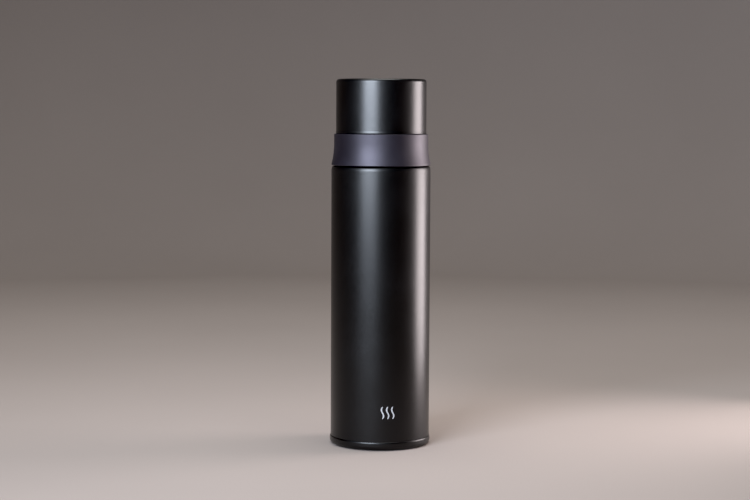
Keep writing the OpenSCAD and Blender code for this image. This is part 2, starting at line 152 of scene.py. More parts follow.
@dataclass
class Opening:
    """Hole through a turned wall, with straight edges along the wall's own lines."""

    turn: float        # the middle of the hole, in degrees
    half: float        # half of its width, in degrees
    radii: Point       # the least and greatest radius of the surfaces that it pierces
    heights: Point     # its lower and upper edge
    slack: float = 0.01

    def holds(self, turn: float, ends: Sequence[Point]) -> bool:
        """Says whether a face is in the hole.

        Args:
            turn: The face's middle angle, in degrees.
            ends: The outline's two points that it runs between.

        Returns:
            True if the hole takes the face away.
        """
        (near, far), (bottom, top) = self.radii, self.heights
        inside = all(near - self.slack <= r <= far + self.slack
                     and bottom - self.slack <= z <= top + self.slack for r, z in ends)
        return inside and abs((turn - self.turn + 180) % 360 - 180) < self.half


@dataclass
class Turning:
    """Round piece, made by carrying a closed outline round the flask's axis."""

    outline: Outline
    segments: int = 160
    shape: Optional[Shape] = None          # moves each point: turn, radius and height
    notches: Sequence[float] = ()          # angles where the outline changes suddenly
    stations: Sequence[float] = ()         # further angles that need a section
    clear: float = 0.4                     # no other section stands this near one of those
    openings: Sequence[Opening] = ()
    notch: float = 0.002                   # how near a notch the section at either side of it is

    def angles(self) -> list[float]:
        """Places the sections, with two close together at each notch.

        Returns:
            Their angles, in degrees and in order.
        """
        sharp = [a + side for a in self.notches for side in (-self.notch, self.notch)]
        sharp += list(self.stations)
        for o in self.openings:
            sharp += [o.turn - o.half, o.turn + o.half]
        sharp = sorted({round(a % 360, 5) for a in sharp})
        even = [360 * i / self.segments for i in range(self.segments)]
        free = [a for a in even
                if all(abs((a - s + 180) % 360 - 180) > self.clear for s in sharp)]
        return sorted(free + sharp)

    def mesh(self, pick: Optional[Pick] = None) -> bmesh.types.BMesh:
        """Makes the piece's surface.

        Args:
            pick: Gives a face's material index from the outline's point that it starts at.

        Returns:
            A closed bmesh, in metres.
        """
        made = bmesh.new()
        angles = self.angles()
        rings = [[self.vertex(made, angle, r, z) for r, z in self.outline] for angle in angles]
        count = len(self.outline)
        for j, angle in enumerate(angles):
            ring, following = rings[j], rings[(j + 1) % len(rings)]
            width = (angles[(j + 1) % len(angles)] - angle) % 360
            for i in range(count):
                k = (i + 1) % count
                ends = (self.outline[i], self.outline[k])
                if ends[0][0] < ON_AXIS and ends[1][0] < ON_AXIS:
                    continue
                if any(o.holds(angle + width / 2, ends) for o in self.openings):
                    continue
                corners = [ring[i], following[i], following[k], ring[k]]
                if ends[0][0] < ON_AXIS:
                    corners.pop(1)
                elif ends[1][0] < ON_AXIS:
                    corners.pop(2)
                face = made.faces.new(corners)
                if pick:
                    face.material_index = pick(i)
        bmesh.ops.remove_doubles(made, verts=made.verts, dist=WELD)
        loose = [e for e in made.edges if e.is_boundary]
        if loose:
            bmesh.ops.bridge_loops(made, edges=loose, use_pairs=True)
        return made

    def vertex(self, made: bmesh.types.BMesh, turn: float, r: float, z: float) -> bmesh.types.BMVert:
        """Adds one vertex, after the shape has moved it.

        Args:
            made: The bmesh, in metres.
            turn: The vertex's angle, in degrees.
            r: Its radius.
            z: Its height.

        Returns:
            The vertex.
        """
        if self.shape and r > ON_AXIS:
            turn, r, z = self.shape(turn, r, z)
        a = math.radians(turn)
        return made.verts.new(Vector((r * math.cos(a), r * math.sin(a), z)) * MM)


def smooth(t: float) -> float:
    """Eases a share from 0 to 1."""
    t = min(1.0, max(0.0, t))
    return t * t * (3 - 2 * t)


def outward(angle: float) -> Vector:
    """Level unit vector at an angle round the flask's axis, in radians."""
    return Vector((math.cos(angle), math.sin(angle), 0))


@dataclass
class Thread:
    """Screw ridges on a round wall, right-handed, with run-outs at both ends."""

    wall: float            # the wall's radius
    height: float          # how far the ridge stands out, or in if negative
    width: float
    lead: float            # rise for each turn
    z: float               # where the first ridge starts
    turn: float            # angle where it starts, in degrees
    sweep: float           # angle that it runs for
    starts: int = 1
    fade: float = 24.0     # angle that a run-out takes
    sink: float = 0.3      # how far the ridge's flanks run on into the wall

    def ridges(self) -> list[bmesh.types.BMesh]:
        """Makes the ridges, which are sunk in the wall.

        Returns:
            A closed bmesh for each start, in metres.
        """
        tall, side = abs(self.height), math.copysign(1, self.height)
        # The flanks start a little under the wall, so that no edge lies in its surface
        root, dive, steps = 0.04, 0.08, math.ceil(self.sweep / 3)
        made = []
        for start in range(self.starts):
            path, sides = [], []
            for i in range(steps + 1):
                along = self.sweep * i / steps
                share = smooth(along / self.fade) * smooth((self.sweep - along) / self.fade)
                crest = (tall + dive) * share - dive
                out = outward(math.radians(self.turn + 360 * start / self.starts + along))
                path.append(out * self.wall + UP * (self.z + self.lead * along / 360))
                section = [(-self.sink, 0.5), (-root, 0.5), (0.8 * crest, 0.3), (crest, 0.2)]
                section += [(r, -half) for r, half in reversed(section)]
                sides.append([out * side * r + UP * self.width * half for r, half in section])
            made.append(swept(path, sides))
        return made


def swept(path: Sequence[Vector], sides: Sequence[Sequence[Vector]]) -> bmesh.types.BMesh:
    """Solid carried along a path, with a cap at each end.

    Args:
        path: The middle of each section, in millimetres.
        sides: For each section, the corners' offsets from its middle.

    Returns:
        A closed bmesh, in metres.
    """
    made = bmesh.new()
    rings = [[made.verts.new((p + s) * MM) for s in ring] for p, ring in zip(path, sides)]
    for ring, following in zip(rings, rings[1:]):
        for i in range(len(ring)):
            k = (i + 1) % len(ring)
            made.faces.new([ring[i], following[i], following[k], ring[k]])
    made.faces.new(rings[0][::-1])
    made.faces.new(rings[-1])
    return made


def united(solids: Sequence[bmesh.types.BMesh], material: int = 0) -> bmesh.types.BMesh:
    """Unites solids into one.

    Args:
        solids: Closed bmeshes, which are freed.
        material: The material index of every solid but the first.

    Returns:
        One closed bmesh.
    """
    parts = []
    for number, solid in enumerate(solids):
        bmesh.ops.recalc_face_normals(solid, faces=solid.faces)
        for face in solid.faces if number else []:
            face.material_index = material
        mesh = bpy.data.meshes.new("part")
        solid.to_mesh(mesh)
        solid.free()
        for _ in range(material + 1):
            mesh.materials.append(None)
        part = bpy.data.objects.new("part", mesh)
        bpy.context.scene.collection.objects.link(part)
        parts.append(part)
    for other in parts[1:]:
        union = parts[0].modifiers.new("union", "BOOLEAN")
        union.operation, union.solver, union.object = "UNION", "MANIFOLD", other
    evaluated = parts[0].evaluated_get(bpy.context.evaluated_depsgraph_get())
    made = bmesh.new()
    made.from_mesh(evaluated.to_mesh())
    evaluated.to_mesh_clear()
    for part in parts:
        bpy.data.objects.remove(part)
    return made


# ---- Finishes ----

def linear(colour: str) -> tuple[float, float, float, float]:
    """Turns an sRGB hex colour into the linear colour that a shader takes."""
    parts = [int(colour[i:i + 2], 16) / 255 for i in (1, 3, 5)]
    return tuple(c / 12.92 if c <= 0.04045 else ((c + 0.055) / 1.055) ** 2.4 for c in parts) + (1.0,)


def per_mm(size: float) -> float:
    """Texture scale at which one cell of a pattern is this many millimetres."""
    return 1 / (size * MM)


def add(tree: bpy.types.NodeTree, kind: str, inputs: Optional[dict[str, Any]] = None,
        **settings: Any) -> bpy.types.Node:
    """Adds a node with its settings and links.

    Args:
        tree: The node tree.
        kind: The node's type, without ShaderNode.
        inputs: For each socket, its value, or the output that feeds it.
        settings: The node's own attributes.

    Returns:
        The node.
    """
    node = tree.nodes.new("ShaderNode" + kind)
    for name, value in settings.items():
        setattr(node, name, value)
    for name, value in (inputs or {}).items():
        if isinstance(value, bpy.types.NodeSocket):
            tree.links.new(value, node.inputs[name])
        else:
            node.inputs[name].default_value = value
    return node


class Layout(Enum):
    """How a fine pattern lies on a piece."""

    EVEN = "alike in every direction"
    TURNED = "in circles about the flask's axis"


@dataclass(frozen=True)
class Finish:
    """A real material and how its surface was made. Sizes are in millimetres."""

    name: str
    colour: str                      # sRGB
    shade: str                       # sRGB of its darker or lighter patches
    roughness: float
    spread: float                    # how far the roughness strays either way
    grain: float                     # size of one bump of its relief
    relief: float                    # height of the relief
    patch: float = 20.0              # size of a patch in its colour and shine
    detail: float = 2.0
    layout: Layout = Layout.EVEN
    metallic: float = 0.0
    ior: float = 1.5
    specular: float = 0.5
    sockets: tuple[tuple[str, Any], ...] = ()    # anything else that its shader needs

    def pattern_place(self, tree: bpy.types.NodeTree) -> bpy.types.NodeSocket:
        """Lays the fine pattern.

        Args:
            tree: The material's node tree.

        Returns:
            The coordinates that it is laid by, in metres.
        """
        place = add(tree, "TexCoord").outputs["Object"]
        if self.layout is Layout.EVEN:
            return place
        parts = add(tree, "SeparateXYZ", {"Vector": place}).outputs
        flat = add(tree, "CombineXYZ", {"X": parts["X"], "Y": parts["Y"]}).outputs["Vector"]
        radius = add(tree, "VectorMath", {0: flat}, operation="LENGTH").outputs["Value"]
        turn = add(tree, "Math", {0: parts["Y"], 1: parts["X"]}, operation="ARCTAN2").outputs[0]
        # One turn counts as a few grains, so each line runs for a good part of the way round
        slow = add(tree, "Math", {0: turn, 1: self.grain * MM * 2}, operation="MULTIPLY").outputs[0]
        return add(tree, "CombineXYZ", {"X": radius, "Y": slow, "Z": parts["Z"]}).outputs["Vector"]

    def material(self) -> bpy.types.Material:
        """The finish's material, which is made the first time that it is asked for."""
        return bpy.data.materials.get(self.name) or self.new_material()

    def new_material(self) -> bpy.types.Material:
        """Makes the material: a fine relief, and patches that shift its colour and shine a little.

        Returns:
            The material.
        """
        made = bpy.data.materials.new(self.name)
        made.use_nodes = True
        tree = made.node_tree
        tree.nodes.clear()
        place = add(tree, "TexCoord").outputs["Object"]
        fine = add(tree, "TexNoise", {"Vector": self.pattern_place(tree), "Detail": self.detail,
                                      "Scale": per_mm(self.grain)}).outputs["Fac"]
        patch = add(tree, "TexNoise", {"Vector": place, "Detail": 3.0,
                                       "Scale": per_mm(self.patch)}).outputs["Fac"]
        both = add(tree, "Math", {0: fine, 1: patch}, operation="MULTIPLY").outputs[0]
        # The two patterns' product seldom strays out of this range
        usual = {"Value": both, "From Min": 0.12, "From Max": 0.4}
        share = add(tree, "MapRange", usual).outputs[0]
        colour = add(tree, "MixRGB", {"Fac": share, "Color1": linear(self.colour),
                                      "Color2": linear(self.shade)}).outputs[0]
        shine = add(tree, "MapRange", {**usual, "To Min": self.roughness - self.spread,
                                       "To Max": self.roughness + self.spread}).outputs[0]
        bump = add(tree, "Bump", {"Height": fine, "Distance": self.relief * MM}).outputs["Normal"]
        shader = add(tree, "BsdfPrincipled", {
            "Base Color": colour, "Roughness": shine, "Normal": bump, "Metallic": self.metallic,
            "IOR": self.ior, "Specular IOR Level": self.specular, **dict(self.sockets)})
        add(tree, "OutputMaterial", {"Surface": shader.outputs[0]})
        return made


class Finishes:
    """Every finish of the flask and its studio."""

    # Acrylic paint baked on drawn steel: near black and satin, with a very faint orange peel
    PAINT = Finish("baked_satin_black_paint", "#030303", "#060607", 0.33, 0.03, grain=1.4,
                   relief=0.0016, patch=35)
    # Polypropylene moulded in a fine spark-eroded tool: a dull satin, dyed purple-grey
    RING = Finish("moulded_purple_grey_polypropylene", "#0E0C11", "#110F15", 0.49, 0.04,
                  grain=0.35, relief=0.004, patch=14, specular=0.65,
                  sockets=(("Specular Tint", linear("#F6EFFF")),))
    # The same plastic dyed black, with a coarser spark texture that the hand grips
    HOUSING = Finish("moulded_black_polypropylene", "#131315", "#18181A", 0.5, 0.05, grain=0.4,
                     relief=0.008, patch=12, ior=1.49)
    # Polypropylene from a polished tool, so the cup wipes clean
    LINER = Finish("polished_grey_polypropylene", "#4A4A50", "#505056", 0.28, 0.04, grain=2.5,
                   relief=0.004, patch=18, ior=1.49)
    # Undyed grey polypropylene of the valve's inner pieces
    INNER = Finish("plain_grey_polypropylene", "#7C7C80", "#86868A", 0.4, 0.05, grain=0.8,
                   relief=0.004, patch=10, ior=1.49)
    # 18-8 stainless steel, spun and polished on a lathe: fine rings round the axis, drawn
    # coarser than a real polish leaves so that they show
    STEEL = Finish("spun_stainless_steel", "#C9C7C3", "#B9B7B3", 0.24, 0.06, grain=0.25,
                   relief=0.0015, patch=30, detail=4, layout=Layout.TURNED, metallic=1.0)
    # Moulded silicone: milky, slightly clear and matt
    SILICONE = Finish("milky_silicone", "#D8D8D2", "#E2E2DC", 0.45, 0.05, grain=0.5, relief=0.003,
                      patch=8, ior=1.41, sockets=(("Subsurface Weight", 0.35),
                                                  ("Subsurface Radius", (1.0, 0.9, 0.8)),
                                                  ("Subsurface Scale", 0.002)))
    # Stainless spring wire, drawn bright and faintly scuffed by its die
    WIRE = Finish("drawn_spring_wire", "#A9A8A6", "#8F8E8C", 0.3, 0.08, grain=0.2, relief=0.002,
                  patch=5, metallic=1.0)
    # Thin rolled aluminium, wrapped by hand, so it is bright and slightly crumpled
    FOIL = Finish("crumpled_aluminium_foil", "#D6D6D8", "#C4C4C8", 0.22, 0.06, grain=7.0,
                  relief=0.12, patch=16, detail=4, metallic=1.0)
    # Pressed and sintered metal powder: dull and granular
    GETTER = Finish("sintered_getter_metal", "#4B4A48", "#383736", 0.7, 0.08, grain=0.3,
                    relief=0.02, patch=3, metallic=0.8)
    # Fused sealing glass over the pumping hole: dark grey-green and glossy
    SEAL = Finish("fused_sealing_glass", "#3C423D", "#454B45", 0.12, 0.04, grain=1.5, relief=0.01,
                  patch=4, ior=1.55)
    # Pad-printed ink, thin and matt
    INK = Finish("pad_printed_grey_ink", "#BFC0C2", "#B4B5B8", 0.5, 0.06, grain=0.25, relief=0.003,
                 patch=3)
    # Seamless studio paper, matt and plain
    PAPER = Finish("studio_paper", "#9B918B", "#9F958F", 0.9, 0.03, grain=1.2, relief=0.02,
                   patch=300, specular=0.2)


# ---- Pieces ----

def finished(name: str, made: bmesh.types.BMesh, body: str, slot: str, nodes: Sequence[str],
             *finishes: Finish, edge: float = 0.0) -> bpy.types.Object:
    """Turns a bmesh into a piece that rides on its body.

    Args:
        name: The piece's name.
        made: The bmesh, in metres, which is freed.
        body: The CAD body that it rides on.
        slot: The name of a material slot; not used.
        nodes: The CAD nodes that it stands for.
        finishes: Its finishes, by the material index of its faces.
        edge: The width of the bevel on its sharp edges, in millimetres, or 0 for none.

    Returns:
        The piece.
    """
    bmesh.ops.remove_doubles(made, verts=made.verts, dist=WELD)
    bmesh.ops.recalc_face_normals(made, faces=made.faces)
    mesh = bpy.data.meshes.new(name)
    made.to_mesh(mesh)
    made.free()
    for finish in finishes:
        mesh.materials.append(finish.material())
    mesh.shade_smooth()
    mesh.set_sharp_from_angle(angle=SHARP_ANGLE)
    piece = bpy.data.objects.new(name, mesh)
    bpy.context.scene.collection.objects.link(piece)
    if edge:
        bevel = piece.modifiers.new("edges", "BEVEL")
        bevel.width, bevel.segments = edge * MM, 2
        bevel.limit_method, bevel.angle_limit = "ANGLE", SHARP_ANGLE
        bevel.use_clamp_overlap = True
    normals = piece.modifiers.new("normals", "WEIGHTED_NORMAL")
    normals.keep_sharp = True
    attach(piece, body)
    if nodes:
        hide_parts(*nodes)
    log.info("%s: %d faces, on %s", name, len(mesh.polygons), body)
    return piece


def dress(node: str, finish: Finish) -> None:
    """Gives a CAD node that is kept as it is its material.

    Args:
        node: The node's name.
        finish: Its finish.
    """
    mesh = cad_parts[node].data
    mesh.materials.clear()
    mesh.materials.append(finish.material())
    log.info("%s: kept, in %s", node, finish.name)


# ---- Bottle ----

@dataclass
class Bottle:
    """Painted outer shell, pressed base and inner vessel."""

    sheet: float = 0.4
    seam: float = 6.2                # lower edge of the shell
    hem: float = 0.1
    body_r: float = reach("outer_shell")
    shoulder: float = high("inner_vessel") - 18.1
    shoulder_r: Point = (1.3, 3.0)   # the shoulder is a quarter of an ellipse
    shoulder_rise: float = 0.3
    neck_r: float = reach("inner_vessel") - 6.8
    neck_fillet: float = 1.8
    rim: float = high("inner_vessel")
    rim_t: float = 0.55
    bead_r: float = reach("outer_base")
    bead_corner: Point = (0.55, 1.3)
    foot_r: float = 3.3
    recess_r: float = reach("base_cover") + 0.8
    panel: float = 2.4

    def build(self) -> None:
        """Builds and dresses the bottle."""
        self.outer_shell()
        self.outer_base()
        self.base_cover()
        self.inner_vessel()
        self.mark()
        dress("inner_bottom", Finishes.STEEL)
        dress("getter_holder", Finishes.STEEL)
        dress("getter_pellet", Finishes.GETTER)
        dress("radiation_foil", Finishes.FOIL)
        dress("vacuum_seal", Finishes.SEAL)

    def outer_shell(self) -> None:
        """Drawn shell, painted outside up to the neck, which stays bare for its thread."""
        wide, tall = self.shoulder_r
        corner = (self.body_r - wide, self.shoulder - tall)
        root = (self.neck_r + self.neck_fillet,
                self.shoulder + self.shoulder_rise + self.neck_fillet)
        top = self.rim - self.rim_t - 0.05

        def shoulder(depth: float) -> Outline:
            """The shoulder's curve, at a depth in the sheet."""
            return arc(corner, (wide - depth, tall - depth), 0, 90, 20)

        def neck(depth: float) -> Outline:
            """The neck's root and wall, at a depth in the sheet."""
            return arc(root, self.neck_fillet + depth, 270, 180, 10) + [(self.neck_r - depth, top)]

        edge = [(self.body_r - self.hem, self.seam), (self.body_r, self.seam + self.hem)]
        painted = edge + shoulder(0)
        inside = [(self.body_r - self.sheet, self.seam)] + shoulder(self.sheet) + neck(self.sheet)
        wall = Turning(painted + neck(0) + inside[::-1], 192)
        thread = Thread(self.neck_r, height=1.0, width=2.0, lead=NECK_LEAD, z=self.shoulder + 5.6,
                        turn=0, sweep=480)
        made = united([wall.mesh(lambda i: 0 if i < len(painted) else 1)] + thread.ridges(), 1)
        finished("bottle_shell", made, "flask", "black_paint", ["outer_shell"],
                 Finishes.PAINT, Finishes.STEEL)

    def outer_base(self) -> None:
        """Pressed base: flange, bead, foot and recessed panel."""
        flange_r, flange_top = self.body_r - self.sheet - 0.1, high("outer_base")
        heel_r, lip_r, hole_r = 1.2, 0.5, 1.2
        foot = (self.bead_r - self.foot_r, self.foot_r)
        heel = (self.recess_r + heel_r, heel_r)
        lip = (self.recess_r - lip_r, self.panel - lip_r)
        bead_top = self.seam - 0.05
        wide, tall = self.bead_corner

        def under(depth: float) -> Outline:
            """The foot, the recess and its panel up to the pumping hole, at a depth in the sheet."""
            return (arc(foot, self.foot_r - depth, 0, -90, 16) + arc(heel, heel_r - depth, 270, 180, 8)
                    + arc(lip, lip_r + depth, 0, 90, 6) + [(hole_r, self.panel + depth)])

        outside = [(flange_r, flange_top), (flange_r, bead_top)]
        outside += arc((self.bead_r - wide, bead_top - tall), self.bead_corner, 90, 0, 14)
        inside = [(flange_r - self.sheet, flange_top), (flange_r - self.sheet, bead_top - 0.2),
                  (self.bead_r - self.sheet, bead_top - tall)]
        outline = outside + under(0) + (inside + under(self.sheet))[::-1]
        finished("bottle_base", Turning(outline, 192).mesh(), "flask", "black_paint",
                 ["outer_base"], Finishes.PAINT)

    def base_cover(self) -> None:
        """Disc in the recess, with rings moulded in its underside."""
        under, groove, floor = low("base_cover"), 0.3, 1.6
        edge_r, top = reach("base_cover"), high("base_cover")
        corners = [(0, under)]
        for r in (6.0, 10.0, 14.0, 18.0, 22.0):
            corners += [(r - 1, under), (r - 0.4, under + groove), (r + 0.4, under + groove),
                        (r + 1, under)]
        corners += [(edge_r, under, 0.4), (edge_r, top), (edge_r - 2, top), (edge_r - 2, floor),
                    (0, floor)]
        finished("base_disc", Turning(rounded(corners, 0.15, 3)).mesh(), "flask",
                 "stopper_plastic", ["base_cover"], Finishes.HOUSING)

    def inner_vessel(self) -> None:
        """Spun vessel, whose rim is rolled out over the shell's neck."""
        wall, mouth = reach("inner_vessel"), self.neck_r - 2.5
        bottom, corner_r, corner_turn, root_r = low("inner_vessel"), 7.0, 65.0, 3.0
        corner = (wall - corner_r, self.shoulder - 13.3)
        neck = mouth + self.sheet
        a = math.radians(corner_turn)
        cone_r = neck + root_r * (1 - math.cos(a))
        drop = wall - corner_r * (1 - math.cos(a)) - cone_r
        root = (neck + root_r,
                corner[1] + corner_r * math.sin(a) + drop / math.tan(a) + root_r * math.sin(a))
        out_fillet, in_fillet = 0.25, 0.35

        def wall_and_cone(depth: float) -> Outline:
            """The wall and the cone up to the neck, at a depth in the sheet."""
            return ([(wall - depth, bottom)] + arc(corner, corner_r - depth, 0, corner_turn, 14)
                    + arc(root, root_r + depth, 180 + corner_turn, 180, 8))

        outside = wall_and_cone(0)
        outside += [(neck, self.rim - self.rim_t), (self.neck_r, self.rim - self.rim_t)]
        outside += arc((self.neck_r - out_fillet, self.rim - out_fillet), out_fillet, 0, 90, 5)
        inside = wall_and_cone(self.sheet)
        inside += arc((mouth + in_fillet, self.rim - in_fillet), in_fillet, 180, 90, 5)
        finished("vessel", Turning(outside + inside[::-1]).mesh(), "flask", "stainless_steel",
                 ["inner_vessel"], Finishes.STEEL)

    def mark(self) -> None:
        """Three wavy strokes of steam, pad-printed low on the front."""
        middle_z, tall, wide, gap, wave, steps = 27.0, 8.6, 0.95, 3.6, 0.75, 36
        centre = 5.5                                   # how far round from the front, in mm
        proud, sunk = 0.04, -0.03                      # the ink's outer and inner face
        for index in range(3):
            path, sides = [], []
            for i in range(steps + 1):
                t = i / steps
                round_mm = centre + (index - 1) * gap + wave * math.sin(2 * math.pi * t)
                half = wide / 2 * math.sqrt(max(0.05, 1 - (2 * t - 1) ** 8))
                a = -math.pi / 2 + round_mm / self.body_r
                out, along = outward(a), outward(a + math.pi / 2)
                path.append(out * self.body_r + UP * (middle_z + tall * (t - 0.5)))
                sides.append([out * depth + along * side * half for depth, side in
                              ((sunk, -1), (proud, -1), (proud, 1), (sunk, 1))])
            finished("steam_mark_%d" % (index + 1), swept(path, sides), "flask", "black_paint", [],
                     Finishes.INK)


# ---- Stopper ----

@dataclass
class Stopper:
    """Housing, cover, gasket and the small pieces inside them."""

    deck: float = high("stopper_housing") - 5.0      # top of the housing's deck
    barrel_z: float = low("stopper_housing")
    seat_r: float = 13.0
    barrel_r: float = 20.6
    skirt_in: float = 25.6
    skirt_r: float = 27.6
    head_r: float = 27.2
    head_in: float = 25.2
    groove_r: float = 19.4
    flutes: int = 36
    collar_in: float = reach("push_button") + 0.3
    duct: Point = (16.4, 18.4)
    window_half: float = 7.4
    window_h: float = 8.6

    def build(self) -> None:
        """Builds and dresses the stopper."""
        self.housing()
        self.cover()
        self.gasket()
        dress("valve_guide", Finishes.INNER)
        dress("chamber_seal", Finishes.SILICONE)
        dress("stem_seal", Finishes.SILICONE)

    def housing(self) -> None:
        """Barrel, deck and skirt, threaded inside for the neck and outside for the cup."""
        skirt_z, under, rim = self.deck - 18.1, self.deck - 2.2, self.deck + 5
        groove_z = self.barrel_z + 3.2
        seal_r, seal_deep = (21.2, 23.0), 0.9
        flute_foot, flute_r, flute_axis = self.deck + 0.8, 0.7, 0.4
        corners = [
            (self.seat_r, self.barrel_z, 0.2), (self.barrel_r, self.barrel_z, 0.6),
            (self.barrel_r, groove_z), (self.groove_r, groove_z),
            (self.groove_r, groove_z + 4), (self.barrel_r, groove_z + 4),
            (self.barrel_r, under, 0.4), (self.skirt_in, under, 0.4),
            (self.skirt_in, skirt_z, 0.35), (self.skirt_r, skirt_z, 0.45),
            (self.skirt_r, self.deck, 0.4), (self.head_r, self.deck, 0.1),
            (self.head_r, flute_foot - 0.3, 0), (self.head_r, flute_foot - 0.05, 0),
            (self.head_r, flute_foot + 0.2, 0), (self.head_r, rim, 0.15),
            (self.head_in, rim, 0.15), (self.head_in, self.deck, 0.2), (seal_r[1], self.deck, 0.1),
            (seal_r[1], self.deck - seal_deep, 0.1), (seal_r[0], self.deck - seal_deep, 0.1),
            (seal_r[0], self.deck, 0.1), (self.barrel_r - 2, self.deck, 0.2),
            (self.barrel_r - 2, self.barrel_z + 2.6, 0.5), (self.seat_r, self.barrel_z + 1.2, 0.2)]
        neck = Thread(self.skirt_in, height=-1.0, width=2.0, lead=NECK_LEAD, z=self.deck - 16.1,
                      turn=90, sweep=420)
        cup = Thread(self.skirt_r, height=1.15, width=1.5, lead=CUP_LEAD, z=self.deck - 14.3,
                     turn=0, sweep=105, starts=CUP_STARTS)
        pitch = 360 / self.flutes

        def shape(turn: float, r: float, z: float) -> tuple[float, float, float]:
            """Cuts the flutes that the fingers grip.

            Args:
                turn: A point's angle, in degrees.
                r: Its radius.
                z: Its height.

            Returns:
                The angle, radius and height that it moves to.
            """
            if abs(r - self.head_r) > 0.16 or z < flute_foot - 0.3:
                return turn, r, z
            off = math.radians(((turn + pitch / 2) % pitch - pitch / 2)) * self.head_r
            cut = max(0.0, math.sqrt(max(0.0, flute_r ** 2 - off ** 2)) - flute_axis)
            return turn, r - cut * smooth((z - flute_foot + 0.3) / 0.5), z

        centres = [pitch * k for k in range(self.flutes)]
        near = [c + d for c in centres for d in (-1.1, -0.75, -0.4, 0, 0.4, 0.75, 1.1)]
        body = Turning(rounded(corners, 0.25), 240, shape, stations=near, clear=0.5).mesh()
        finished("stopper_body", united([body] + neck.ridges() + cup.ridges()), "stopper",
                 "stopper_plastic", ["stopper_housing"], Finishes.HOUSING)

    def cover(self) -> None:
        """Upper wall and deck, with the collar, the pouring lip, the duct and the windows."""
        wall_z, spigot_z, spigot_r = self.deck + 5.1, self.deck + 1.7, self.head_in - 0.1
        deck = (self.deck + 16.7, self.deck + 18.7)
        top, collar_top, collar_z = self.deck + 20.5, self.deck + 21.8, self.deck + 12.3
        collar = (self.collar_in, self.collar_in + 1.5)
        window = (self.deck + 5.9, self.deck + 5.9 + self.window_h)
        inner = self.head_in - 1.4
        corners = [
            (collar[0], collar_z, 0.3), (collar[1], collar_z, 0.3), (collar[1], deck[0], 0.3),
            (self.duct[0], deck[0], 0), (self.duct[1], deck[0], 0), (self.head_in, deck[0], 0.3),
            (self.head_in, window[1], 0), (self.head_in, window[0], 0), (self.head_in, wall_z, 0),
            (inner, wall_z, 0.1), (inner, spigot_z, 0.3), (spigot_r, spigot_z, 0.3),
            (spigot_r, wall_z - 0.05, 0), (self.head_r, wall_z, 0.1),
            (self.head_r, window[0], 0), (self.head_r, window[1], 0),
            (self.head_r, deck[1] - 1.6, 0), (self.head_r, deck[1] + 0.2, 0),
            (self.head_r, top, 0.6), (self.head_in, top, 0.5), (self.head_in, deck[1] + 0.2, 0),
            (self.head_in, deck[1], 0.15), (self.duct[1], deck[1], 0), (self.duct[0], deck[1], 0),
            (collar[1], deck[1], 0.4), (collar[1], collar_top, 0.5), (collar[0], collar_top, 0.5)]
        spout, lip, cut_z = 16.0, self.skirt_r - self.head_r, deck[1] + 0.2
        edge = math.degrees(math.asin(self.window_half / self.head_r))

        def shape(turn: float, r: float, z: float) -> tuple[float, float, float]:
            """Cuts the rim down at the spout, draws out its lip, and squares the windows.

            Args:
                turn: A point's angle, in degrees.
                r: Its radius.
                z: Its height.

            Returns:
                The angle, radius and height that it moves to.
            """
            if abs((turn + 90 + 180) % 360 - 180) < spout and r > self.head_in - 1:
                if z > cut_z:
                    z, r = cut_z, min(max(r, self.head_in), self.head_r)
                if r > self.head_r - 0.1 and z > deck[1] - 1.2:
                    r += lip * smooth((z - deck[1] + 1.6) / 1.2)
            off = (turn + 90) % 180 - 90
            beside = r > self.head_in - 0.05 and window[0] - 1 < z < window[1] + 1
            if beside and abs(abs(off) - edge) < 0.01:
                squared = math.degrees(math.asin(self.window_half / r))
                turn += math.copysign(squared - edge, off)
            return turn, r, z

        openings = [Opening(a, edge, (self.head_in, self.head_r), window) for a in (0, 180)]
        slots = [Opening(a, half, self.duct, deck) for a, half in ((-90, 30), (90, 6))]
        wall = Turning(rounded(corners, 0.2), 160, shape, notches=(-90 - spout, -90 + spout),
                       clear=1.4, openings=openings + slots)
        finished("stopper_top", wall.mesh(), "stopper", "stopper_plastic", ["stopper_cover"],
                 Finishes.HOUSING)

    def gasket(self) -> None:
        """Two-lipped ring that seals the barrel in the neck."""
        bottom, top, lip = low("stopper_gasket"), high("stopper_gasket"), reach("stopper_gasket")
        waist, bore = lip - 0.6, self.groove_r + 0.1
        corners = [(bore, bottom), (waist, bottom, 0.1), (lip, bottom + 0.9, 0.3),
                   (waist, bottom + 1.6, 0.3), (waist, top - 1.6, 0.3), (lip, top - 0.9, 0.3),
                   (waist, top, 0.1), (bore, top)]
        finished("neck_gasket", Turning(rounded(corners, 0.1)).mesh(), "stopper_seal",
                 "silicone", ["stopper_gasket"], Finishes.SILICONE)


